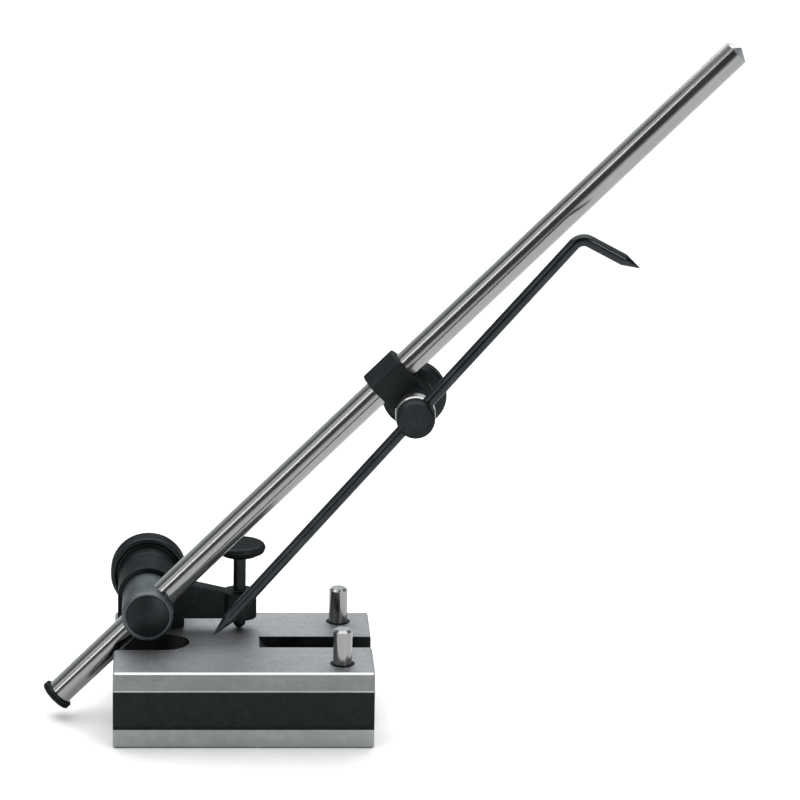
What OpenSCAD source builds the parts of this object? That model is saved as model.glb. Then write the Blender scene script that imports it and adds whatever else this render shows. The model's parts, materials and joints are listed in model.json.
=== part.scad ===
// Universal surface gauge: ground base, rocking bracket, swivelling spindle, clamp and scriber.
// Origin: middle of the base's underside. +X runs along the base, +Y to the back, +Z up.

/* [Base] */
// Length of the base
base_l = 82; // [70:1:100]
// Depth of the base, front to back
base_w = 60; // [58:1:80]
// Height of the base
base_h = 25; // [22:0.5:32]
// Bevel on the ground edges
base_bevel = 0.6; // [0.2:0.1:1]
// Height of the recessed band on the front and the back
band_h = 12.6; // [8:0.2:14]
// Underside of the recessed band
band_z = 6.1; // [5:0.1:8]
// Depth of the recessed band
band_d = 1; // [0.4:0.1:1.2]
// Half width of the V groove in the underside
vee_r = 9; // [8.6:0.1:9.4]
// Width of the slot that clears the spindle
slot_w = 16; // [12:0.5:18]
// Right end of the spindle slot
slot_end = -17; // [-20:0.5:-14]
// Width of the groove at the right end of the top
groove_w = 10.8; // [8:0.2:14]
// Depth of that groove
groove_d = 6; // [3:0.5:8]
// Left end of that groove
groove_x = 5.1; // [0:0.1:10]

/* [Guide pins] */
// Diameter of a guide pin
pin_d = 6; // [5:0.1:7]
// Height of a raised pin above the base
pin_up = 11.5; // [8:0.5:14]
// Distance of the pins from the middle of the base
pin_x = 31; // [28:0.5:34]
// Half of the distance between the pins
pin_y = 20.7; // [17:0.1:23]

/* [Rocking bracket] */
// Distance of the rocker's pivot from the middle of the base
pivot_x = -29; // [-30:0.1:-28]
// Height of the rocker's pivot
pivot_z = 19; // [18:0.5:20]
// Front face of the bracket
bracket_y = 12; // [12:0.1:13]
// Thickness of the bracket's boss and foot
bracket_t = 15.7; // [14:0.1:16]
// Gap between the foot and the base
foot_gap = 0.8; // [0.6:0.1:1.2]
// Thickness of the arm
arm_t = 5.6; // [4:0.1:7]

/* [Adjusting screw] */
// Distance of the screw from the middle of the base
screw_x = -1; // [-4:0.5:2]
// Diameter of the screw
screw_d = 4; // [3:0.5:5]
// Diameter of its head
head_d = 16.6; // [12:0.2:18]
// Thickness of its head
head_t = 4; // [3:0.2:5]
// Underside of its head
head_z = 49.6; // [46:0.2:54]

/* [Swivel] */
// Distance of the swivel's axis from the middle of the base
swivel_x = -30.3; // [-31:0.1:-29.5]
// Height of the swivel's axis
swivel_z = 36.1; // [35.5:0.1:37]
// Outer diameter of the swivel's sleeve
sleeve_d = 16.4; // [15:0.1:18]
// Outer diameter of the bracket's boss
boss_d = 19.3; // [18:0.1:20]
// Outer diameter of the swivel's nut
nut_d = 24.6; // [22:0.2:26]

/* [Spindle] */
// Length of the spindle with its collar
spindle_l = 300; // [240:10:320]
// Diameter of the spindle
spindle_d = 8.4; // [8:0.1:8.6]
// Part of the spindle below the swivel's axis
spindle_below = 41.8; // [38:0.1:42]
// Lean of the spindle from upright
spindle_lean = 45; // [40:1:50]
// Diameter of the collar at the lower end
collar_d = 10.6; // [10:0.1:11.4]
// Thickness of the collar
collar_t = 2; // [1.5:0.1:3]

/* [Clamp] */
// Distance of the clamp from the swivel's axis along the spindle
clamp_at = 107.9; // [100:0.1:150]
// Distance between the spindle's axis and the clamp bolt's axis
clamp_offset = 10.4; // [10:0.1:12]
// Turn of the clamp about the spindle, its front towards the upper left
clamp_swing = 3; // [0:0.5:8]
// Size of the clamp's body along the spindle and front to back
clamp_size = 12; // [11.6:0.1:13]
// Diameter of the clamp bolt's head
cap_d = 12; // [11:0.1:13]
// Diameter of the clamp's nut
clamp_nut_d = 20.6; // [18:0.2:22]

/* [Scriber] */
// Diameter of the scriber
scriber_d = 3.8; // [3:0.1:4]
// Distance from the lower point to the clamp bolt
scriber_low = 94.8; // [80:0.1:95]
// Distance from the clamp bolt to the bend
scriber_high = 76; // [60:0.1:90]
// Length of the bent leg
scriber_leg = 20.6; // [16:0.2:26]
// Lean of the long leg from upright
scriber_lean = 41; // [39:0.1:42]
// Angle of the bend
scriber_bend = 76.5; // [60:0.1:90]

/* [Hidden] */
$fn = 96;
EPS = 0.01;
FAR = 200;
RUN = 0.05;                        // radial clearance of a running fit
spindle_r = spindle_d / 2;
scriber_r = scriber_d / 2;
pin_r = pin_d / 2;
pin_hole_r = pin_r + RUN;
pin_len = base_h + pin_up - 1;
screw_r = screw_d / 2;
screw_y = bracket_y + arm_t / 2;

// Rocker: a lug under the foot turns on a pin pressed into the base
pivot_r = 2;
lug_r = 4;
lug_y0 = bracket_y + 1;
lug_t = 11;
lug_clear = 0.8;
foot_z = base_h + foot_gap;
foot_right = -18.7;
arm_under = base_h + 3.8;
boss_r = boss_d / 2;
screw_boss_r = 5.5;
screw_boss_top = 37.4;
spring_x = pivot_x - 8;
spring_y = bracket_y + 8;
spring_r = 1.5;
spring_wire_r = 0.25;
spring_turns = 6;
spring_z0 = base_h - 3.5;
spring_z1 = foot_z + 2.7;
spring_seat_r = 1.9;

// Swivel, front to back
sleeve_y0 = -7.9;
sleeve_y1 = bracket_y - 0.1;
bolt_head_r = 6.8;
bolt_r = 4;
bolt_step_y = 5.8;
bolt_dome = 1.5;
washer_y = bracket_y + bracket_t + 0.1;
washer_t = 1;
nut_y = washer_y + washer_t;
nut_hub_t = 6;
nut_flange_t = 7.5;
nut_hub_r = 9.5;
bolt_end_y = nut_y + nut_hub_t + nut_flange_t - 1;

// Clamp, front to back
clamp_r = 6.55;
clamp_half = clamp_size / 2;
neck_y = -clamp_half - 8.6;
neck_r = 5.6;
ring_y0 = neck_y - 5.2;
ring_r = 6.3;
scriber_y = ring_y0 + 0.5;
cap_t = 5.2;
clamp_bolt_r = 4;
clamp_thread_r = 3;
clamp_washer_t = 0.9;
clamp_nut_t = 7;
clamp_split = 1.2;

// Pin brakes in the right end of the base
brake_hole_r = 2.1;
brake_z = 12.5;
plug_t = 2.5;

BLACK = [0.11, 0.12, 0.13];
STEEL = [0.66, 0.67, 0.68];
BRIGHT = [0.78, 0.79, 0.8];
BRASS = [0.72, 0.58, 0.3];

// Points of an arc about (cx, cy)
function arc(cx, cy, r, a0, a1, n = 8) =
    [for (i = [0 : n]) let (a = a0 + (a1 - a0) * i / n) [cx + r * cos(a), cy + r * sin(a)]];

// Cylinder along Y from y0 to y1, about (x, z)
module rod_y(x, z, r, y0, y1) {
    translate([x, y0, z])
        rotate([-90, 0, 0])
            cylinder(h = y1 - y0, r = r);
}

// Turns a profile of [radius, distance to the back] points about a Y axis through (x, z)
module turn_y(x, z, points) {
    translate([x, 0, z])
        rotate([-90, 0, 0])
            rotate_extrude()
                polygon(points);
}

// Local Z runs up the spindle from the swivel's axis, local X to its lower right
module on_spindle() {
    translate([swivel_x, 0, swivel_z])
        rotate([0, spindle_lean, 0])
            children();
}

// As on_spindle, with the clamp's turn, level with the clamp bolt
module beside_clamp() {
    on_spindle()
        translate([0, 0, clamp_at])
            rotate([0, 0, -clamp_swing])
                children();
}

// As beside_clamp, about the clamp bolt's axis
module on_clamp() {
    beside_clamp()
        translate([clamp_offset, 0, 0])
            children();
}

// Local Z runs up the scriber's long leg from the clamp bolt's axis
module on_scriber() {
    on_clamp()
        rotate([0, scriber_lean - spindle_lean, 0])
            translate([0, scriber_y, 0])
                children();
}

// Extrudes an outline in X and Z from y0 back to y1
module plate(y0, y1) {
    translate([0, y1, 0])
        rotate([90, 0, 0])
            linear_extrude(y1 - y0)
                children();
}

// Rectangle with bevelled corners
module bevelled(w, h, b) {
    polygon([[-w / 2 + b, 0], [w / 2 - b, 0], [w / 2, b], [w / 2, h - b],
        [w / 2 - b, h], [-w / 2 + b, h], [-w / 2, h - b], [-w / 2, b]]);
}

// Band, cut into the front and the back with sloping edges
module side_bands() {
    for (side = [0, 1])
        mirror([0, side, 0])
            rotate([90, 0, 90])
                translate([0, 0, -FAR / 2])
                    linear_extrude(FAR)
                        polygon([[base_w / 2 + EPS, band_z - EPS],
                            [base_w / 2 - band_d, band_z + band_d / 2],
                            [base_w / 2 - band_d, band_z + band_h - band_d / 2],
                            [base_w / 2 - 0.3, band_z + band_h - 0.15],
                            [base_w / 2 + EPS, band_z + band_h + 0.4]]);
}

// Groove that lets the base sit on round work
module vee_groove() {
    rotate([90, 0, 90])
        translate([0, 0, -FAR / 2])
            linear_extrude(FAR)
                polygon([[-vee_r - EPS, -EPS], [-1.2, vee_r - 1.2], [-1.2, vee_r + 0.6],
                    [1.2, vee_r + 0.6], [1.2, vee_r - 1.2], [vee_r + EPS, -EPS]]);
}

// Slot right through the base, where the lower end of the spindle swings
module spindle_slot() {
    r = slot_w / 2;
    translate([slot_end - r, 0, -1])
        cylinder(h = base_h + 2, r = r);
    translate([-FAR, -r, -1])
        cube([FAR + slot_end - r, slot_w, base_h + 2]);
}

// Groove in the top with the curved run-out of its cutter
module top_groove() {
    cutter_r = 12.5;
    run_out = sqrt(cutter_r * cutter_r - pow(cutter_r - groove_d, 2));
    rod_y(groove_x + run_out, base_h - groove_d + cutter_r, cutter_r, -groove_w / 2, groove_w / 2);
    translate([groove_x + run_out, -groove_w / 2, base_h - groove_d])
        cube([FAR, groove_w, groove_d + 1]);
}

// Hole for a guide pin, with its bevelled mouth
module guide_pin_hole() {
    translate([0, 0, -1])
        cylinder(h = base_h + 2, r = pin_hole_r);
    translate([0, 0, base_h - 0.95])
        cylinder(h = 1, r1 = pin_hole_r, r2 = pin_hole_r + 1);
}

// Pocket, pin hole and spring seat of the rocker
module rocker_seat() {
    half = lug_r + lug_clear;
    translate([pivot_x - half, lug_y0 - 0.4, pivot_z - half])
        cube([2 * half, lug_t + 0.8, base_h]);
    rod_y(pivot_x, pivot_z, pivot_r, lug_y0 - 3.6, base_w / 2 + 1);
    translate([spring_x, spring_y, spring_z0])
        cylinder(h = 10, r = spring_seat_r);
}

module base_block() {
    color(STEEL)
        difference() {
            intersection() {
                rotate([90, 0, 90])
                    translate([0, 0, -base_l / 2])
                        linear_extrude(base_l)
                            bevelled(base_w, base_h, base_bevel);
                plate(-base_w / 2, base_w / 2)
                    bevelled(base_l, base_h, base_bevel);
                linear_extrude(base_h)
                    translate([0, -base_w / 2])
                        bevelled(base_l, base_w, base_bevel);
            }
            side_bands();
            vee_groove();
            spindle_slot();
            top_groove();
            rocker_seat();
            for (side = [-1, 1])
                translate([pin_x, side * pin_y, 0]) {
                    guide_pin_hole();
                    translate([0, 0, brake_z])
                        rotate([0, 90, 0])
                            cylinder(h = FAR, r = brake_hole_r);
                }
        }
}

module pivot_pin() {
    color(BRIGHT)
        rod_y(pivot_x, pivot_z, pivot_r, lug_y0 - 3.4, base_w / 2 - band_d - 0.3);
}

// Foot, boss, arm and lug in one casting
module rocker_bracket() {
    back_y = bracket_y + bracket_t;
    color(BLACK)
        difference() {
            union() {
                rod_y(swivel_x, swivel_z, boss_r, bracket_y, back_y);
                translate([swivel_x - boss_r, bracket_y, foot_z])
                    cube([foot_right - swivel_x + boss_r, bracket_t, swivel_z - foot_z]);
                plate(bracket_y, bracket_y + arm_t)
                    polygon([[swivel_x, foot_z], [foot_right, foot_z], [foot_right, arm_under],
                        [screw_x, arm_under], [screw_x, screw_boss_top],
                        [screw_x - 4, screw_boss_top], [swivel_x + 8, swivel_z + 5.2],
                        [swivel_x, swivel_z + 5.2]]);
                translate([screw_x, screw_y, arm_under])
                    cylinder(h = screw_boss_top - arm_under, r = screw_boss_r);
                translate([pivot_x - lug_r, lug_y0, pivot_z])
                    cube([2 * lug_r, lug_t, foot_z + 2 - pivot_z]);
                rod_y(pivot_x, pivot_z, lug_r, lug_y0, lug_y0 + lug_t);
            }
            rod_y(swivel_x, swivel_z, bolt_r + RUN, bracket_y - 1, back_y + 1);
            rod_y(pivot_x, pivot_z, pivot_r + RUN, lug_y0 - 1, lug_y0 + lug_t + 1);
            translate([screw_x, screw_y, arm_under - 1])
                cylinder(h = 20, r = screw_r + RUN);
            translate([spring_x, spring_y, foot_z - 1])
                cylinder(h = spring_z1 - foot_z + 1, r = spring_seat_r);
        }
}

// Point and tangent frame of the coil at turn t
function coil_at(t) = [(spring_r - spring_wire_r) * cos(360 * t), (spring_r - spring_wire_r) * sin(360 * t),
    spring_z0 + spring_wire_r + (spring_z1 - spring_z0 - 2 * spring_wire_r) * t / spring_turns];

// Compression spring that lifts the foot's left end and so holds the screw down
module rocker_spring() {
    per_turn = 16;
    sides = 6;
    rings = spring_turns * per_turn;
    points = [for (i = [0 : rings]) let (t = i / per_turn, c = coil_at(t))
        for (k = [0 : sides - 1]) let (a = 360 * k / sides, w = spring_wire_r)
            [c[0] + w * cos(a) * cos(360 * t), c[1] + w * cos(a) * sin(360 * t), c[2] + w * sin(a)]];
    walls = [for (i = [0 : rings - 1]) for (k = [0 : sides - 1]) let (n = (k + 1) % sides)
        [i * sides + k, i * sides + n, (i + 1) * sides + n, (i + 1) * sides + k]];
    first = [for (k = [0 : sides - 1]) sides - 1 - k];
    last = [for (k = [0 : sides - 1]) rings * sides + k];
    color(STEEL)
        translate([spring_x, spring_y, 0])
            polyhedron(points, concat([first], walls, [last]), convexity = 8);
}

// Screw with a rounded tip that stands on the base
module adjust_stem() {
    tip_z = base_h + 0.04;
    color(BLACK)
        translate([screw_x, screw_y, 0])
            rotate_extrude()
                polygon(concat(arc(0, tip_z + screw_r, screw_r, -90, 0, 12),
                    [[screw_r, head_z + 2.2], [screw_r - 0.3, head_z + 2.5], [0, head_z + 2.5]]));
}

// Mushroom head of the adjusting screw
module adjust_knob() {
    r = head_d / 2;
    round_r = head_t * 0.42;
    hole_r = screw_r + RUN;
    color(BLACK)
        translate([screw_x, screw_y, head_z])
            rotate_extrude()
                polygon(concat([[hole_r, 0], [r - 2.4, 0]],
                    [[r - 0.5, 1.1]],
                    arc(r - round_r, head_t - round_r, round_r, 0, 90),
                    [[0, head_t + 0.15], [0, 2.6], [hole_r, 2.6]]));
}

// Bolt with a domed head, cross drilled for the spindle
module swivel_bolt() {
    dome_r = (bolt_head_r * bolt_head_r + bolt_dome * bolt_dome) / (2 * bolt_dome);
    dome_a = asin(bolt_head_r / dome_r);
    top = sleeve_y0 - 0.1;
    color(BLACK)
        difference() {
            turn_y(swivel_x, swivel_z, concat(
                arc(0, top - bolt_dome + dome_r, dome_r, -90, -90 + dome_a),
                [[bolt_head_r, bolt_step_y], [bolt_r, bolt_step_y],
                [bolt_r, bolt_end_y - 0.6], [bolt_r - 0.6, bolt_end_y], [0, bolt_end_y]]));
            on_spindle()
                cylinder(h = FAR, r = spindle_r + RUN, center = true);
        }
}

// Sleeve around the bolt, notched by the same cross hole
module swivel_sleeve() {
    r = sleeve_d / 2;
    color([0.27, 0.28, 0.29])
        difference() {
            turn_y(swivel_x, swivel_z, [[bolt_head_r + RUN, sleeve_y0 + 0.1],
                [bolt_head_r + 0.35, sleeve_y0], [r - 0.8, sleeve_y0], [r, sleeve_y0 + 0.8],
                [r, sleeve_y1 - 0.3], [r - 0.3, sleeve_y1], [bolt_r + RUN, sleeve_y1],
                [bolt_r + RUN, bolt_step_y + 1], [bolt_head_r + RUN, bolt_step_y + 1]]);
            on_spindle()
                cylinder(h = FAR, r = spindle_r + RUN, center = true);
        }
}

module swivel_washer() {
    color(BRIGHT)
        difference() {
            rod_y(swivel_x, swivel_z, nut_hub_r - 0.3, washer_y, washer_y + washer_t);
            rod_y(swivel_x, swivel_z, bolt_r + RUN, washer_y - 1, washer_y + washer_t + 1);
        }
}

// Hub and broad rim, with a shallow recess in the rim's front face
module swivel_nut() {
    r = nut_d / 2;
    rim_y = nut_y + nut_hub_t;
    end_y = rim_y + nut_flange_t;
    color(BLACK)
        turn_y(swivel_x, swivel_z, [[bolt_r + RUN, nut_y], [nut_hub_r - 0.4, nut_y],
            [nut_hub_r, nut_y + 0.4], [nut_hub_r, rim_y + 0.7], [r - 2, rim_y + 0.7],
            [r - 1.4, rim_y], [r - 0.9, rim_y], [r, rim_y + 0.9], [r, end_y - 0.9], [r - 0.9, end_y],
            [bolt_r + 0.6, end_y], [bolt_r + RUN, end_y - 0.6]]);
}

// Spindle: necked for its collar below, with a blunt point above
module spindle_rod() {
    point = 2.1;
    neck = 3;
    color(BRIGHT)
        on_spindle()
            translate([0, 0, -spindle_below]) {
                cylinder(h = collar_t + 1, r = neck);
                translate([0, 0, collar_t])
                    cylinder(h = spindle_l - collar_t - point, r = spindle_r);
                translate([0, 0, spindle_l - point])
                    cylinder(h = point, r1 = spindle_r, r2 = 0.15);
            }
}

module spindle_collar() {
    r = collar_d / 2;
    color(BLACK)
        on_spindle()
            translate([0, 0, -spindle_below])
                rotate_extrude()
                    polygon([[3, 0], [r - 0.4, 0], [r, 0.3], [r, 0.9], [r - 0.35, 1.15],
                        [r, 1.4], [r, collar_t - 0.2], [r - 0.3, collar_t], [3, collar_t]]);
}

// Block with a round end about the spindle and a round end about the bolt, split between,
// and a neck round the bolt that reaches forward to the ring
module clamp_body() {
    color(BLACK)
        beside_clamp()
            difference() {
                union() {
                    intersection() {
                        translate([0, 0, -clamp_half])
                            linear_extrude(clamp_size)
                                union() {
                                    intersection() {
                                        circle(clamp_r);
                                        square([4 * clamp_r, clamp_size], center = true);
                                    }
                                    translate([0, -clamp_half])
                                        square([clamp_offset + clamp_half, clamp_size]);
                                }
                        plate(-clamp_half - 1, clamp_half + 1)
                            union() {
                                translate([-clamp_r - 1, -clamp_half])
                                    square([clamp_r + 1 + clamp_offset, clamp_size]);
                                translate([clamp_offset, 0])
                                    circle(clamp_half);
                            }
                    }
                    rod_y(clamp_offset, 0, neck_r, neck_y, 0);
                }
                cylinder(h = 4 * clamp_size, r = spindle_r + RUN, center = true);
                rod_y(clamp_offset, 0, clamp_bolt_r + RUN, -FAR, FAR);
                translate([0, -clamp_split / 2, -clamp_size])
                    cube([FAR, clamp_split, 2 * clamp_size]);
            }
}

// Bolt with a flat, bevelled head, cross drilled for the scriber
module clamp_bolt() {
    r = cap_d / 2;
    front = ring_y0 - 0.1 - cap_t;
    end_y = clamp_half + clamp_washer_t + clamp_nut_t - 0.8;
    color(BLACK)
        difference() {
            on_clamp()
                turn_y(0, 0, [[0, front + 0.25], [r - 1.7, front + 0.25], [r - 1.4, front],
                    [r - 0.8, front], [r, front + 0.8], [r, ring_y0 - 0.4], [r - 0.3, ring_y0 - 0.1],
                    [clamp_bolt_r, ring_y0 - 0.1], [clamp_bolt_r, clamp_half - 0.6],
                    [clamp_thread_r, clamp_half - 0.6], [clamp_thread_r, end_y - 0.5],
                    [clamp_thread_r - 0.5, end_y], [0, end_y]]);
            on_scriber()
                cylinder(h = FAR, r = scriber_r + RUN, center = true);
        }
}

// Bright ring between the head and the neck, cross drilled with the bolt
module clamp_ring() {
    color(BRIGHT)
        difference() {
            on_clamp()
                turn_y(0, 0, [[clamp_bolt_r + RUN, ring_y0], [ring_r - 0.4, ring_y0],
                    [ring_r, ring_y0 + 0.4], [ring_r, neck_y - 0.5],
                    [ring_r - 0.4, neck_y - 0.1], [clamp_bolt_r + RUN, neck_y - 0.1]]);
            on_scriber()
                cylinder(h = FAR, r = scriber_r + RUN, center = true);
        }
}

module clamp_washer() {
    y0 = clamp_half + 0.05;
    color(BRIGHT)
        on_clamp()
            difference() {
                rod_y(0, 0, 6.3, y0, y0 + clamp_washer_t - 0.1);
                rod_y(0, 0, clamp_thread_r + RUN, y0 - 1, y0 + 2);
            }
}

module clamp_nut() {
    r = clamp_nut_d / 2;
    y0 = clamp_half + clamp_washer_t;
    y1 = y0 + clamp_nut_t;
    color(BLACK)
        on_clamp()
            turn_y(0, 0, [[clamp_thread_r + RUN, y0], [r - 1.2, y0], [r, y0 + 1.2],
                [r, y1 - 0.8], [r - 0.8, y1], [clamp_thread_r + 0.5, y1],
                [clamp_thread_r + RUN, y1 - 0.5]]);
}

// Leg of the scriber along Z, from its blunt end at z0 to its point at z1
module scriber_leg(z0, z1, cone) {
    tip_r = 0.15;
    toward = z1 > z0 ? 1 : -1;
    rotate_extrude()
        polygon([[0, z0], [scriber_r, z0], [scriber_r, z1 - toward * cone], [tip_r, z1], [0, z1]]);
}

// Long leg with a point, bend, and short leg with a point
module scriber() {
    bend_r = 4;
    setback = bend_r * tan(scriber_bend / 2);
    lap = 0.5;                     // angle by which the bend runs into each leg
    color(BLACK)
        on_scriber() {
            scriber_leg(scriber_high - setback, -scriber_low, 7.5);
            translate([bend_r, 0, scriber_high - setback])
                rotate([90, 0, 180])
                    rotate([0, 0, -lap])
                        rotate_extrude(angle = scriber_bend + 2 * lap)
                            translate([bend_r, 0])
                                circle(scriber_r - 0.005);
            translate([0, 0, scriber_high])
                rotate([0, scriber_bend, 0])
                    scriber_leg(setback, scriber_leg, 5.5);
        }
}

// Pin with both ends bevelled
module guide_pin(side) {
    b = 0.7;
    color(BRIGHT)
        translate([pin_x, side * pin_y, 1])
            rotate_extrude()
                polygon([[0, 0], [pin_r - b, 0], [pin_r, b], [pin_r, pin_len - b],
                    [pin_r - b, pin_len], [0, pin_len]]);
}

module guide_pin_front() {
    guide_pin(-1);
}

module guide_pin_rear() {
    guide_pin(1);
}

// Soft plugs that the grub screws press against the guide pins
module pin_brake_plugs() {
    color(BRASS)
        for (side = [-1, 1])
            translate([pin_x + pin_hole_r, side * pin_y, brake_z])
                rotate([0, 90, 0])
                    cylinder(h = plug_t, r = brake_hole_r - RUN);
}

// Slotted grub screws behind the plugs
module pin_grub_screws() {
    x0 = pin_x + pin_hole_r + plug_t + 0.1;
    len = base_l / 2 - 0.6 - x0;
    color(BLACK)
        for (side = [-1, 1])
            translate([x0, side * pin_y, brake_z])
                difference() {
                    rotate([0, 90, 0])
                        cylinder(h = len, r = brake_hole_r - RUN);
                    translate([len - 1.1, -0.35, -3])
                        cube([2, 0.7, 6]);
                }
}

base_block();
pivot_pin();
rocker_bracket();
rocker_spring();
adjust_stem();
adjust_knob();
swivel_bolt();
swivel_sleeve();
swivel_washer();
swivel_nut();
spindle_rod();
spindle_collar();
clamp_body();
clamp_bolt();
clamp_ring();
clamp_washer();
clamp_nut();
scriber();
guide_pin_front();
guide_pin_rear();
pin_brake_plugs();
pin_grub_screws();
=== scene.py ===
"""Looks of a universal surface gauge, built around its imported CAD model.

Places are in metres, in the CAD model's frame: +X along the base, +Y to the back, +Z up.
Profiles of turned pieces are in millimetres, along the piece's own axis.
"""

import json
import math

import bmesh
import bpy
from mathutils import Matrix, Vector


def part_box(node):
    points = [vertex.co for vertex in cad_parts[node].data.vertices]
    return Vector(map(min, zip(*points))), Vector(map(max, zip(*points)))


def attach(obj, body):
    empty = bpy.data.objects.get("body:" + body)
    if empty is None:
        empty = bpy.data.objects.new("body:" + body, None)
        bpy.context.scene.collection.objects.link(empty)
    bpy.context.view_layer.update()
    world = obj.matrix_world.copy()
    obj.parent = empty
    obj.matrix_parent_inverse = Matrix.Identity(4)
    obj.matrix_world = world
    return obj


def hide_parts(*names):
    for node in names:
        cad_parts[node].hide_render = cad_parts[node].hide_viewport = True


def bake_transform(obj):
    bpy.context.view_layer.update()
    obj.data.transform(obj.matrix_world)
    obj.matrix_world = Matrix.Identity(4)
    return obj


MM = 0.001
SHARP = 0.04 * MM    # half the width of a painted area's edge

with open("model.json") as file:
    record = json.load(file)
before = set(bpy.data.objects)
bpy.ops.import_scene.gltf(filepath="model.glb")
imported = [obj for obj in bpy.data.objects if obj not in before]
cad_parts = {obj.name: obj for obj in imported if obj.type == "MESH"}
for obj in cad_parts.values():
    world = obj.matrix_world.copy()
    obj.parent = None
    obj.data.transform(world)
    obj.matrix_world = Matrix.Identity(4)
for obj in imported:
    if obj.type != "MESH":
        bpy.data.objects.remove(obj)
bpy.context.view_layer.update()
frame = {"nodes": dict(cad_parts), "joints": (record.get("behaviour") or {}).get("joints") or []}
NODES = frame["nodes"]

# Linear colours. Where a surface has several, they go from its darkest tone to its palest.
SIDE_STEEL = ((0.155, 0.166, 0.168), (0.215, 0.228, 0.228), (0.28, 0.295, 0.293))
# Painted light: a lighter copy of the side steel for the base's lower lands, lifting the shade
# near the floor.
LOW_LAND_PAINTED_LIGHT = ((0.23, 0.245, 0.246), (0.32, 0.337, 0.337), (0.42, 0.44, 0.438))
TOP_STEEL = ((0.14, 0.148, 0.158), (0.208, 0.216, 0.223), (0.295, 0.303, 0.308))
# Painted highlight: a bright colour for the bevels along the top of the base's long faces.
PAINTED_EDGE_HIGHLIGHT = (0.62, 0.62, 0.605)
# Black of the side bands' paint; the same black is also painted shadow round the guide pins'
# mouths.
BLACK_PAINT_AND_PIN_SHADOW = ((0.005, 0.0066, 0.007), (0.012, 0.0152, 0.016))
BLACK_OXIDE = ((0.010, 0.0115, 0.012), (0.018, 0.0205, 0.0215), (0.032, 0.0355, 0.0365))
SPRING_STEEL = ((0.30, 0.30, 0.31), (0.46, 0.46, 0.47))
BRASS = ((0.46, 0.31, 0.11), (0.66, 0.47, 0.19))
FLOOR_GREY = ((0.88, 0.88, 0.88), (0.92, 0.92, 0.92))
DAYLIGHT = (0.93, 0.965, 1.0, 1.0)


# ---------------------------------------------------------------- material helpers

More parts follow.
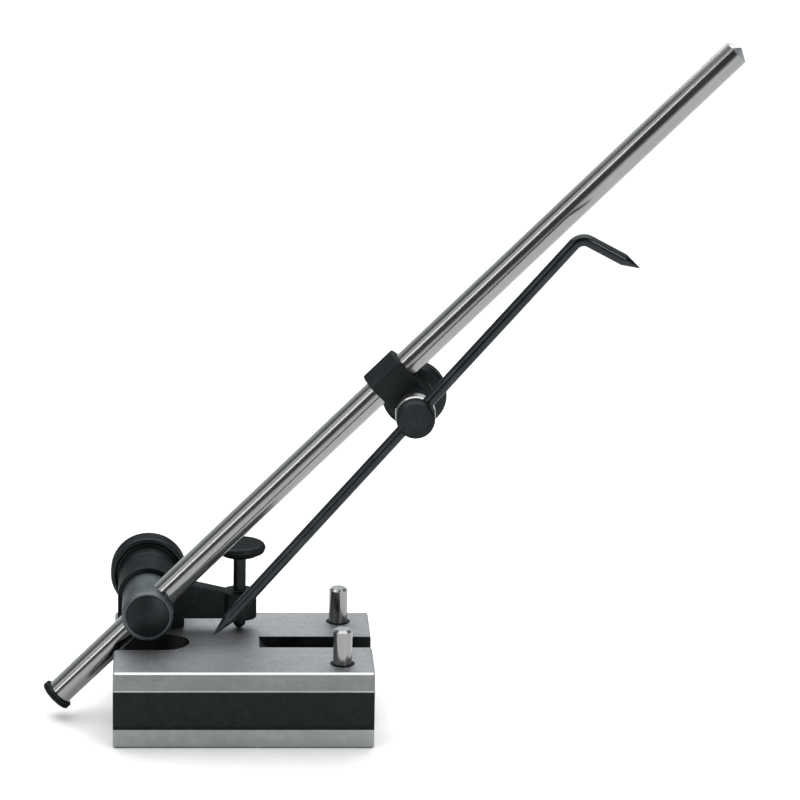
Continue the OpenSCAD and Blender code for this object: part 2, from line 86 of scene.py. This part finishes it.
class Graph:
    """Short calls for building a material's node graph round its Principled shader."""

    def __init__(self, name):
        self.material = bpy.data.materials.new(name)
        self.material.use_nodes = True
        self.tree = self.material.node_tree
        self.shader = self.tree.nodes["Principled BSDF"]
        coordinates = self.add("ShaderNodeTexCoord")
        self.place = coordinates.outputs["Object"]
        self.normal = coordinates.outputs["Normal"]

    def add(self, kind, **settings):
        node = self.tree.nodes.new(kind)
        for key, value in settings.items():
            setattr(node, key, value)
        return node

    def link(self, source, socket):
        self.tree.links.new(source, socket)

    def feed(self, socket, value):
        """Links a socket to another node's output, or sets it to a plain value."""
        if isinstance(value, bpy.types.NodeSocket):
            self.link(value, socket)
        else:
            socket.default_value = value

    def maths(self, operation, a, b=0.0):
        node = self.add("ShaderNodeMath", operation=operation)
        self.feed(node.inputs[0], a)
        self.feed(node.inputs[1], b)
        return node.outputs[0]

    def inverse(self, mask):
        return self.maths("SUBTRACT", 1.0, mask)

    def above(self, value, limit, soft=SHARP):
        """0 below limit and 1 above it, over a short ramp."""
        node = self.add("ShaderNodeMapRange", interpolation_type="LINEAR")
        self.feed(node.inputs["Value"], value)
        node.inputs["From Min"].default_value = limit - soft
        node.inputs["From Max"].default_value = limit + soft
        return node.outputs["Result"]

    def below(self, value, limit, soft=SHARP):
        return self.inverse(self.above(value, limit, soft))

    def between(self, value, low, high):
        return self.all_of(self.above(value, low), self.below(value, high))

    def all_of(self, *masks):
        result = masks[0]
        for mask in masks[1:]:
            result = self.maths("MULTIPLY", result, mask)
        return result

    def any_of(self, *masks):
        result = masks[0]
        for mask in masks[1:]:
            result = self.maths("MAXIMUM", result, mask)
        return result

    def total(self, *parts):
        """Sum of (value, weight) pairs."""
        (value, weight), *rest = parts
        weighted = self.maths("MULTIPLY", value, weight)
        return self.maths("ADD", weighted, self.total(*rest)) if rest else weighted

    def axes(self, vector=None):
        node = self.add("ShaderNodeSeparateXYZ")
        self.link(vector or self.place, node.inputs[0])
        return node.outputs

    def distance(self, a, b):
        """Length of the flat vector (a, b)."""
        return self.maths("SQRT", self.maths("ADD", self.maths("MULTIPLY", a, a),
                                             self.maths("MULTIPLY", b, b)))

    def stretched(self, scale):
        """Object coordinates scaled by three factors, so that a pattern runs along one axis."""
        node = self.add("ShaderNodeMapping")
        self.link(self.place, node.inputs["Vector"])
        node.inputs["Scale"].default_value = scale
        return node.outputs["Vector"]

    def turned(self, across, along, around):
        """Coordinates for marks that run round local Z: scaled radius, height and angle."""
        x, y, z = self.axes()
        node = self.add("ShaderNodeCombineXYZ")
        self.feed(node.inputs[0], self.maths("MULTIPLY", self.distance(x, y), across))
        self.feed(node.inputs[1], self.maths("MULTIPLY", z, along))
        self.feed(node.inputs[2], self.maths("MULTIPLY", self.maths("ARCTAN2", y, x), around))
        return node.outputs[0]

    def noise(self, scale, detail, rough, vector=None):
        node = self.add("ShaderNodeTexNoise")
        self.link(vector or self.place, node.inputs["Vector"])
        node.inputs["Scale"].default_value = scale
        node.inputs["Detail"].default_value = detail
        node.inputs["Roughness"].default_value = rough
        return node.outputs["Fac"]

    def ramp(self, value, positions, colours):
        """Maps a value to a colour through stops at the given positions."""
        node = self.add("ShaderNodeValToRGB")
        self.link(value, node.inputs["Fac"])
        band = node.color_ramp
        while len(band.elements) < len(colours):
            band.elements.new(0.5)
        for element, position, colour in zip(band.elements, positions, colours):
            element.position = position
            element.color = (*colour, 1.0)
        return node.outputs["Color"]

    def mix(self, factor, a, b):
        """Colour between a and b."""
        node = self.add("ShaderNodeMix", data_type="RGBA")
        self.feed(node.inputs["Factor"], factor)
        for letter, value in (("A", a), ("B", b)):
            socket = next(i for i in node.inputs if i.name == letter and i.type == "RGBA")
            self.feed(socket, value if isinstance(value, bpy.types.NodeSocket) else (*value, 1.0))
        return next(o for o in node.outputs if o.type == "RGBA")

    def blend(self, factor, a, b):
        """Number between a and b."""
        return self.maths("ADD", self.maths("MULTIPLY", self.inverse(factor), a),
                          self.maths("MULTIPLY", factor, b))

    def bump(self, height, depth, strength):
        """Normal from a height pattern, as deep as depth in millimetres."""
        node = self.add("ShaderNodeBump")
        node.inputs["Strength"].default_value = strength
        node.inputs["Distance"].default_value = depth * MM
        self.link(height, node.inputs["Height"])
        return node.outputs["Normal"]

    def finish(self, colour, roughness, metallic, bump=None, **uniform):
        """Feeds the shader; uniform holds settings that are the same all over."""
        shader = self.shader
        self.link(colour, shader.inputs["Base Color"])
        self.feed(shader.inputs["Roughness"], roughness)
        self.feed(shader.inputs["Metallic"], metallic)
        if bump is not None:
            self.link(bump, shader.inputs["Normal"])
        for name, value in uniform.items():
            shader.inputs[name.replace("_", " ").title()].default_value = value
        return self.material


# ---------------------------------------------------------------- materials

def base_paint_and_pin_shadow(g, half_depth):
    """Mask of the base's black: paint on the side bands and in the top groove, the slot's inside
    coloured black, and painted shadow round the pins' mouths.
    """
    x, y, z = g.axes()
    depth = g.maths("ABSOLUTE", y)
    below_top, pin_shadow_top = 24.85 * MM, 24.95 * MM
    band_inner, band_outer = half_depth - 1.3 * MM, half_depth - 0.12 * MM
    band_low, band_high = 6.0 * MM, 18.15 * MM
    groove_start, groove_half_width, groove_floor = 5.0 * MM, 5.46 * MM, 18.7 * MM
    slot_end, slot_half_width, slot_low = -16.93 * MM, 8.04 * MM, 9.5 * MM
    pin_shadow_radius, pin_shadow_low = 4.05 * MM, 2.0 * MM

    band = g.all_of(g.between(depth, band_inner, band_outer), g.between(z, band_low, band_high))
    groove = g.all_of(g.above(x, groove_start), g.below(depth, groove_half_width),
                      g.between(z, groove_floor, below_top))
    # The slot's inside is coloured black.
    slot = g.all_of(g.below(x, slot_end), g.below(depth, slot_half_width),
                    g.between(z, slot_low, below_top))
    # Painted shadow: black on the chamfer round each guide pin and down its bore.
    pin = middle("guide_pin_front")
    from_pin = g.distance(g.maths("SUBTRACT", x, pin.x), g.maths("SUBTRACT", depth, abs(pin.y)))
    mouth = g.all_of(g.below(from_pin, pin_shadow_radius),
                     g.between(z, pin_shadow_low, pin_shadow_top))
    return g.any_of(band, mouth, groove, slot)


def base_areas(g, half_depth):
    """Masks of the base's top face, of the bevels along it, which get a painted highlight, and of
    its lower lands, which get painted light.
    """
    _, y, z = g.axes()
    _, ny, nz = g.axes(g.normal)
    level, upright = g.maths("ABSOLUTE", nz), g.maths("ABSOLUTE", ny)
    upper_land, lower_land, bevel_width = 18.4 * MM, 6.3 * MM, 0.8 * MM
    top = g.above(nz, 0.9, 0.05)
    # Bevels that face out and up near the top edge, for a painted highlight.
    bevel = g.all_of(g.above(upright, 0.35, 0.05), g.above(level, 0.35, 0.05),
                     g.above(z, upper_land),
                     g.above(g.maths("ABSOLUTE", y), half_depth - bevel_width))
    # Lower lands, which get painted light.
    low_land_painted_light = g.all_of(g.above(upright, 0.5, 0.1), g.below(z, lower_land))
    return top, bevel, low_land_painted_light


def ground_steel(base_box):
    """Ground tool steel with black paint in its recesses, for the base, with painted shadow round
    the pins' mouths, a painted highlight on the top bevels and painted light on the lower lands.
    """
    g = Graph("ground_steel")
    half_depth = base_box[1].y
    paint_and_pin_shadow = base_paint_and_pin_shadow(g, half_depth)
    top, bevel, low_land_painted_light = base_areas(g, half_depth)

    mottle = g.noise(scale=420, detail=5, rough=0.6)
    cloud = g.noise(scale=38, detail=3, rough=0.5)
    grind = g.noise(scale=900, detail=4, rough=0.65, vector=g.stretched((0.05, 1.0, 1.0)))
    tone = g.total((mottle, 0.35), (cloud, 0.35), (grind, 0.3))
    speck = g.total((tone, 0.55), (g.noise(scale=2100, detail=2, rough=0.5), 0.45))

    side_stops, top_stops = (0.3, 0.55, 0.75), (0.36, 0.52, 0.68)
    # Painted light: the lower lands take a lighter copy of the side steel.
    side_steel = g.mix(low_land_painted_light, g.ramp(tone, side_stops, SIDE_STEEL),
                       g.ramp(tone, side_stops, LOW_LAND_PAINTED_LIGHT))
    top_steel = g.ramp(speck, top_stops, TOP_STEEL)
    # The bevels take a painted highlight in place of the steel's colour.
    steel = g.mix(bevel, g.mix(top, side_steel, top_steel), PAINTED_EDGE_HIGHLIGHT)
    # Black of the paint, also used as the painted shadow round the pins.
    black = g.ramp(mottle, (0.3, 0.7), BLACK_PAINT_AND_PIN_SHADOW)

    side_rough, top_rough = g.blend(grind, 0.34, 0.56), g.blend(speck, 0.5, 0.68)
    paint_rough = g.blend(mottle, 0.42, 0.58)
    rough = g.blend(paint_and_pin_shadow, g.blend(top, side_rough, top_rough), paint_rough)
    lines = g.maths("MULTIPLY", grind, g.inverse(paint_and_pin_shadow))
    grain = g.maths("MULTIPLY", g.noise(scale=1500, detail=3, rough=0.6), paint_and_pin_shadow)
    bump = g.bump(g.maths("ADD", lines, grain), depth=0.02, strength=0.35)
    metallic = g.inverse(g.maths("MULTIPLY", paint_and_pin_shadow, 0.3))
    return g.finish(g.mix(paint_and_pin_shadow, steel, black), rough, metallic, bump)


def black_oxide(name="black_oxide", rough=0.42, light=1.45, around=False, sheen=0.34):
    """Blackened steel: a thin dark skin with a faint sheen at glancing angles, finely mottled.

    light scales its colours, around runs its marks round local Z, and sheen limits how bright
    it gets at glancing angles.
    """
    g = Graph(name)
    mottle = g.noise(scale=2300, detail=4, rough=0.6)
    cloud = g.noise(scale=150, detail=3, rough=0.5)
    if around:
        marks = g.noise(scale=1.0, detail=4, rough=0.6, vector=g.turned(2600, 2600, 0.6))
    else:
        marks = g.noise(scale=3200, detail=3, rough=0.6)
    tone = g.total((mottle, 0.4), (cloud, 0.3), (marks, 0.3))
    colours = [tuple(light * channel for channel in colour) for colour in BLACK_OXIDE]
    return g.finish(g.ramp(tone, (0.34, 0.52, 0.70), colours),
                    g.blend(tone, rough - 0.08, rough + 0.14), 0.9,
                    g.bump(marks, depth=0.02, strength=0.25),
                    specular_tint=(sheen, sheen, sheen, 1.0))


def polished_steel(name="polished_steel", grey=0.29, smoothest=0.13, marks=0.16):
    """Polished steel with very fine marks, as strong as marks says."""
    g = Graph(name)
    fine = g.noise(scale=1400, detail=3, rough=0.6)
    tone = g.total((fine, 0.5), (g.noise(scale=60, detail=3, rough=0.5), 0.5))
    colours = ((grey * 0.88, grey * 0.89, grey * 0.89), (grey * 1.05, grey * 1.06, grey * 1.05))
    return g.finish(g.ramp(tone, (0.3, 0.7), colours),
                    g.blend(tone, smoothest, smoothest + 0.10), 1.0,
                    g.bump(fine, depth=0.01, strength=marks))


def plain_metal(name, colours, scale, detail, smoothest, roughest):
    """Bare metal with one fine pattern in its colour, roughness and bump."""
    g = Graph(name)
    fine = g.noise(scale, detail, rough=0.6)
    return g.finish(g.ramp(fine, (0.3, 0.7), colours), g.blend(fine, smoothest, roughest), 1.0,
                    g.bump(fine, depth=0.01, strength=0.2))


def clothe(material, *nodes):
    """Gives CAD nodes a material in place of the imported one."""
    for name in nodes:
        mesh = NODES[name].data
        mesh.materials.clear()
        mesh.materials.append(material)


# ---------------------------------------------------------------- shapes

def middle(node):
    low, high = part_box(node)
    return (low + high) / 2


def size_mm(node):
    """Extent of a node's box along X, Y and Z, in millimetres."""
    low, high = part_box(node)
    return (high - low) / MM


def make_object(name, bm, material):
    """Turns mesh data into an object of the scene, with one material."""
    mesh = bpy.data.meshes.new(name)
    bm.to_mesh(mesh)
    bm.free()
    mesh.materials.append(material)
    obj = bpy.data.objects.new(name, mesh)
    bpy.context.scene.collection.objects.link(obj)
    return obj


def along(start, end, steps):
    """Points from start to end of one stretch of a profile."""
    return [tuple(a + (b - a) * i / steps for a, b in zip(start, end)) for i in range(steps + 1)]


def textured(points):
    """The same points, marked as the stretch that lathe cuts its relief into."""
    return [(radius, height, True) for radius, height in points]


def rounded(centre, radius, first, last, steps=6):
    """Points of a rounded corner; angles in degrees, 0 outwards and 90 along the axis."""
    angles = [math.radians(first + (last - first) * i / steps) for i in range(steps + 1)]
    return [(centre[0] + radius * math.cos(a), centre[1] + radius * math.sin(a)) for a in angles]


def recessed_end(bore_r, length, ring, mouth):
    """Points of an end face from its outer part to the bore, with a shallow ring round the bore.

    The recess reaches ring past the bore, and the bore's chamfer reaches mouth past it.
    """
    recess, slope, chamfer = 0.25, 0.3, 0.2
    return [(bore_r + ring, length), (bore_r + ring - slope, length - recess),
            (bore_r + mouth, length - recess), (bore_r, length - mouth - chamfer)]


def lathe(name, material, profile, steps, place, relief=None):
    """Turned piece from (radius, height, textured) points in mm, open at the axis or closed.

    A profile that starts and ends off the axis is closed into a ring. relief(angle, height) is
    cut into the radius of the textured points.
    """
    on_axis, crease = 1e-6, math.radians(28)
    bm = bmesh.new()
    rings = []
    for point in profile:
        radius, height = point[0], point[1]
        if radius < on_axis:
            rings.append([bm.verts.new((0.0, 0.0, height * MM))])
            continue
        ring = []
        for i in range(steps):
            angle = 2 * math.pi * i / steps
            r = radius - (relief(angle, height) if relief and len(point) > 2 else 0.0)
            ring.append(bm.verts.new((r * math.cos(angle) * MM, r * math.sin(angle) * MM,
                                      height * MM)))
        rings.append(ring)
    pairs = list(zip(rings, rings[1:]))
    if len(rings[0]) > 1 and len(rings[-1]) > 1:
        pairs.append((rings[-1], rings[0]))
    for low, high in pairs:
        for i in range(steps):
            j = (i + 1) % steps
            if len(low) == 1:
                bm.faces.new((low[0], high[j], high[i]))
            elif len(high) == 1:
                bm.faces.new((low[i], low[j], high[0]))
            else:
                bm.faces.new((low[i], low[j], high[j], high[i]))
    bmesh.ops.recalc_face_normals(bm, faces=bm.faces)
    for face in bm.faces:
        face.smooth = True
    for edge in bm.edges:
        edge.smooth = edge.calc_face_angle(0.0) < crease
    obj = make_object(name, bm, material)
    obj.matrix_world = place
    return obj


def facing(origin, axis):
    """Placement with local Z along axis."""
    turn = Vector((0.0, 0.0, 1.0)).rotation_difference(Vector(axis).normalized())
    return Matrix.Translation(origin) @ turn.to_matrix().to_4x4()


def zigzag(turns):
    """Wave from 0 at whole turns to 1 halfway between them."""
    return abs(2.0 * (turns - math.floor(turns + 0.5)))


def diamond_knurl(radius, pitch, depth, samples=4):
    """Number of steps round the piece, and the relief of a diamond knurl."""
    teeth = round(2 * math.pi * radius / pitch)

    def relief(angle, height):
        across, up = teeth * angle / (2 * math.pi), height / pitch
        return depth * max(1.0 - zigzag(across + up), 1.0 - zigzag(across - up))

    return teeth * samples, relief


def screw_thread(pitch, depth, low, high):
    """Relief of a right-hand thread that runs out at low and at high."""
    def relief(angle, height):
        fade = max(0.0, min(1.0, (height - low) / pitch, (high - height) / pitch))
        return depth * fade * zigzag(height / pitch - angle / (2 * math.pi))
    return relief


# ---------------------------------------------------------------- detailed pieces

def swivel_nut(material):
    """Hub and broad rim with a diamond knurl round the rim."""
    size = size_mm("swivel_nut")
    radius, length = size.x / 2, size.y
    hub_r, bore_r, rim_length, chamfer, fillet = 9.5, 4.05, 7.5, 0.4, 0.5
    corner_r, corner_in, knurl_in = 0.85, 0.9, 0.95
    rim_at = length - rim_length
    steps, relief = diamond_knurl(radius, pitch=1.3, depth=0.16)
    profile = ([(bore_r, 0.0), (hub_r - chamfer, 0.0), (hub_r, chamfer)]
               + rounded((hub_r + fillet, rim_at + 0.2), fillet, 180, 90)
               + [(radius - 2.0, rim_at + 0.7), (radius - 1.5, rim_at), (radius - 1.0, rim_at)]
               + rounded((radius - corner_in, rim_at + corner_in), corner_r, -90, -10, 4)
               + textured(along((radius, rim_at + knurl_in), (radius, length - knurl_in), 18))
               + rounded((radius - corner_in, length - corner_in), corner_r, 10, 90, 4)
               + recessed_end(bore_r, length, ring=2.5, mouth=0.6))
    centre = middle("swivel_nut")
    place = facing((centre.x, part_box("swivel_nut")[0].y, centre.z), (0.0, 1.0, 0.0))
    obj = lathe("swivel_nut_knurled", material, profile, steps, place, relief)
    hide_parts("swivel_nut")
    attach(obj, "swivel_nut")


def clamp_nut(material):
    """Round nut of the clamp, knurled all round; it lies askew, so its size isn't its box's."""
    joint = next(j for j in frame["joints"] if j["name"] == "clamp_nut_turn")
    radius, length, bore_r = 10.3, 7.0, 3.05
    corner_r, corner_in, knurl_in = 0.75, 0.8, 0.85
    bevel_start, bevel_end, knurl_start = 1.2, 0.05, 1.15
    steps, relief = diamond_knurl(radius, pitch=1.15, depth=0.15)
    profile = ([(bore_r, 0.0), (radius - bevel_start, 0.0)]
               + along((radius - 1.1, 0.1), (radius - bevel_end, knurl_start), 3)
               + textured(along((radius, knurl_start + 0.1), (radius, length - knurl_in), 16))
               + rounded((radius - corner_in, length - corner_in), corner_r, 10, 90, 4)
               + recessed_end(bore_r, length, ring=2.6, mouth=0.5))
    axis = Vector(joint["axis"]).normalized()
    place = facing(middle("clamp_nut") - axis * (length / 2 * MM), axis)
    obj = lathe("clamp_nut_knurled", material, profile, steps, place, relief)
    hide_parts("clamp_nut")
    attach(obj, "clamp_nut")


def adjust_stem(material):
    """Adjusting screw: round tip, thread to about the top of the bracket's boss, then smooth."""
    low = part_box("adjust_stem")[0]
    size = size_mm("adjust_stem")
    radius, length = size.x / 2, size.z
    thread_end = 23.4    # above the bracket's lowest point
    top = (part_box("rocker_bracket")[0].z - low.z) / MM + thread_end
    chamfer = 0.3
    profile = ([(0.0, 0.0)] + rounded((0.0, radius), radius, -80, -5, 8)
               + textured(along((radius, radius), (radius, top), 130))
               + [(radius, top + 0.1), (radius, length - chamfer), (radius - chamfer, length),
                  (0.0, length)])
    centre = middle("adjust_stem")
    place = facing((centre.x, centre.y, low.z), (0.0, 0.0, 1.0))
    obj = lathe("adjust_stem_threaded", material, profile, 40, place,
                screw_thread(pitch=0.7, depth=0.3, low=radius, high=top))
    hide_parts("adjust_stem")
    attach(obj, "adjust_screw")


def adjust_knob(material):
    """Mushroom head with a crowned top, a faint centre mark and a fine knurl round its edge."""
    size = size_mm("adjust_knob")
    radius, length = size.x / 2, size.z
    play, bore_depth, crown_drop = 0.05, 2.6, 0.35
    mark_r, mark_depth = 0.7, 0.35
    bore_r = size_mm("adjust_stem").x / 2 + play
    steps, relief = diamond_knurl(radius, pitch=0.9, depth=0.1)
    profile = ([(0.0, bore_depth), (bore_r, bore_depth), (bore_r, 0.0), (radius - 2.5, 0.0),
                (radius - 0.6, 1.05)]
               + textured(along((radius - 0.42, 1.2), (radius - 0.02, 2.3), 6))
               + rounded((radius - 1.65, 2.35), 1.6, 5, 78, 7)
               + [(radius * share, length - crown_drop * share ** 3)
                  for share in (0.78, 0.65, 0.5, 0.35, 0.22, 0.14)]
               + [(mark_r, length - 0.05), (mark_r - 0.4, length - mark_depth + 0.05),
                  (0.0, length - mark_depth)])
    centre = middle("adjust_knob")
    place = facing((centre.x, centre.y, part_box("adjust_knob")[0].z), (0.0, 0.0, 1.0))
    obj = lathe("adjust_knob_crowned", material, profile, steps, place, relief)
    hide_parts("adjust_knob")
    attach(obj, "adjust_head")


def rocker_spring(material, turns=6, per_turn=28, sides=10):
    """Smooth coil of round wire in the place and size of the CAD spring."""
    low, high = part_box("rocker_spring")
    centre = middle("rocker_spring")
    wire = 0.25 * MM
    coil = (high.x - low.x) / 2 - wire
    rise = high.z - low.z - 2 * wire
    bm = bmesh.new()
    rings = []
    for i in range(turns * per_turn + 1):
        angle = 2 * math.pi * i / per_turn
        outwards = Vector((math.cos(angle), math.sin(angle), 0.0))
        height = low.z + wire + rise * i / (turns * per_turn)
        hub = Vector((centre.x, centre.y, height)) + outwards * coil
        rings.append([bm.verts.new(hub + outwards * (wire * math.cos(2 * math.pi * k / sides))
                                   + Vector((0.0, 0.0, wire * math.sin(2 * math.pi * k / sides))))
                      for k in range(sides)])
    for a, b in zip(rings, rings[1:]):
        for k in range(sides):
            n = (k + 1) % sides
            bm.faces.new((a[k], a[n], b[n], b[k]))
    bm.faces.new(rings[0])
    bm.faces.new(rings[-1])
    bmesh.ops.recalc_face_normals(bm, faces=bm.faces)
    for face in bm.faces:
        face.smooth = len(face.verts) == 4
    obj = make_object("rocker_spring_coil", bm, material)
    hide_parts("rocker_spring")
    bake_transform(obj)


def soften(node, width, segments=3):
    """Rounds the sharp edges of a CAD node's mesh by width millimetres, with modifiers."""
    obj = NODES[node]
    weld = obj.modifiers.new("weld", "WELD")
    weld.merge_threshold = 0.003 * MM
    flat = obj.modifiers.new("flat", "DECIMATE")
    flat.decimate_type = "DISSOLVE"
    flat.angle_limit = math.radians(0.6)
    bevel = obj.modifiers.new("bevel", "BEVEL")
    bevel.width = width * MM
    bevel.segments = segments
    bevel.limit_method = "ANGLE"
    bevel.angle_limit = math.radians(35)
    obj.modifiers.new("normals", "WEIGHTED_NORMAL")


# ---------------------------------------------------------------- stage

def camera():
    """The photograph's view: a long lens, looking down on the gauge from the front."""
    azimuth, drop, roll = math.radians(3.0), math.radians(15.8), math.radians(1.02)
    place = (-0.0215, -1.3403, 0.4851)
    forward = Vector((math.sin(azimuth) * math.cos(drop),
                      math.cos(azimuth) * math.cos(drop), -math.sin(drop)))
    right = Vector((math.cos(azimuth), -math.sin(azimuth), 0.0))
    up = right.cross(forward)
    rolled_right = right * math.cos(roll) + up * math.sin(roll)
    rolled_up = up * math.cos(roll) - right * math.sin(roll)
    data = bpy.data.cameras.new("camera")
    data.lens = 199.7
    data.sensor_width = 36.0
    data.clip_start, data.clip_end = 0.05, 50.0
    cam = bpy.data.objects.new("camera", data)
    bpy.context.scene.collection.objects.link(cam)
    turn = Matrix((rolled_right, rolled_up, -forward)).transposed().to_4x4()
    cam.matrix_world = Matrix.Translation(place) @ turn
    bpy.context.scene.camera = cam


def softbox(name, centre, target, size, power):
    """Rectangular area light at centre, facing target."""
    data = bpy.data.lights.new(name, "AREA")
    data.shape = "RECTANGLE"
    data.size, data.size_y = size
    data.energy = power
    lamp = bpy.data.objects.new(name, data)
    bpy.context.scene.collection.objects.link(lamp)
    lamp.location = centre
    lamp.rotation_mode = "QUATERNION"
    lamp.rotation_quaternion = (Vector(target) - Vector(centre)).to_track_quat("-Z", "Y")


def lights():
    """Soft light from above, strips that draw the highlights, and a wash over the far floor."""
    softbox("overhead", centre=(0.0, 0.15, 1.3), target=(0.0, 0.0, 0.0), size=(1.9, 1.6), power=27)
    softbox("left_strip", centre=(-1.0, -1.02, 0.72), target=(0.0, 0.0, 0.12),
            size=(0.22, 0.9), power=2.6)
    softbox("left_panel", centre=(-1.15, -0.5, 0.84), target=(0.0, 0.0, 0.12),
            size=(0.62, 0.8), power=1.7)
    softbox("right_strip", centre=(0.66, -1.06, 0.5), target=(0.03, 0.0, 0.1),
            size=(0.10, 0.8), power=5)
    softbox("far_floor", centre=(0.0, 2.4, 1.6), target=(0.0, 2.2, 0.0), size=(3.0, 1.4), power=45)


def studio():
    """Room light: bright low down behind the gauge, dim in front of it."""
    world = bpy.data.worlds.new("studio")
    bpy.context.scene.world = world
    world.use_nodes = True
    tree = world.node_tree

    def ramp_between(socket, low, high, at_low, at_high):
        """at_low where the value is below low, at_high above high, smooth between them."""
        made = tree.nodes.new("ShaderNodeMapRange")
        made.interpolation_type = "SMOOTHSTEP"
        tree.links.new(socket, made.inputs["Value"])
        for name, value in (("From Min", low), ("From Max", high),
                            ("To Min", at_low), ("To Max", at_high)):
            made.inputs[name].default_value = value
        return made.outputs["Result"]

    direction = tree.nodes.new("ShaderNodeTexCoord")
    axes = tree.nodes.new("ShaderNodeSeparateXYZ")
    tree.links.new(direction.outputs["Generated"], axes.inputs[0])
    behind = ramp_between(axes.outputs[1], low=-0.3, high=0.75, at_low=0.10, at_high=1.0)
    low_down = ramp_between(axes.outputs[2], low=0.30, high=0.75, at_low=1.0, at_high=0.35)
    level = tree.nodes.new("ShaderNodeMath")
    level.operation = "MULTIPLY"
    tree.links.new(behind, level.inputs[0])
    tree.links.new(low_down, level.inputs[1])
    background = tree.nodes["Background"]
    background.inputs["Color"].default_value = DAYLIGHT
    tree.links.new(level.outputs[0], background.inputs["Strength"])


def floor():
    """Plain pale floor: one round face."""
    edges, reach = 96, 6.0
    angles = [2 * math.pi * i / edges for i in range(edges)]
    bm = bmesh.new()
    bm.faces.new([bm.verts.new((reach * math.cos(a), reach * math.sin(a), 0.0)) for a in angles])
    g = Graph("floor")
    speck = g.noise(scale=30, detail=3, rough=0.5)
    material = g.finish(g.ramp(speck, (0.3, 0.7), FLOOR_GREY), roughness=0.6, metallic=0.0)
    obj = make_object("floor", bm, material)


# ---------------------------------------------------------------- assembly

def dress_cad_nodes():
    clothe(ground_steel(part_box("base_block")), "base_block")
    clothe(black_oxide(), "rocker_bracket", "swivel_bolt", "clamp_body", "clamp_bolt",
           "spindle_collar", "pin_grub_screws")
    clothe(black_oxide("scriber_oxide", rough=0.2, light=1.8, sheen=0.6), "scriber")
    clothe(black_oxide("dark_sleeve", rough=0.36, light=5.6), "swivel_sleeve")
    clothe(polished_steel(), "spindle_rod", "guide_pin_front", "guide_pin_rear")
    clothe(polished_steel("bright_steel", grey=0.34, smoothest=0.16, marks=0.2),
           "pivot_pin", "swivel_washer", "clamp_washer", "clamp_ring")
    clothe(plain_metal("brass", BRASS, scale=900, detail=4, smoothest=0.25, roughest=0.45),
           "pin_brake_plugs")
    soften("rocker_bracket", width=0.6)
    soften("clamp_body", width=0.3)
    soften("swivel_bolt", width=0.25)
    soften("clamp_bolt", width=0.2)


def add_detailed_pieces():
    turned = black_oxide("turned_oxide", rough=0.38, light=1.5, around=True)
    rocker_spring(plain_metal("spring_steel", SPRING_STEEL, scale=1200, detail=3,
                              smoothest=0.22, roughest=0.42))
    swivel_nut(turned)
    clamp_nut(turned)
    adjust_stem(turned)
    adjust_knob(black_oxide("knob_oxide", rough=0.42, light=1.3, sheen=0.25))


bpy.context.scene.view_settings.view_transform = "Standard"
camera()
lights()
studio()
floor()
dress_cad_nodes()
add_detailed_pieces()
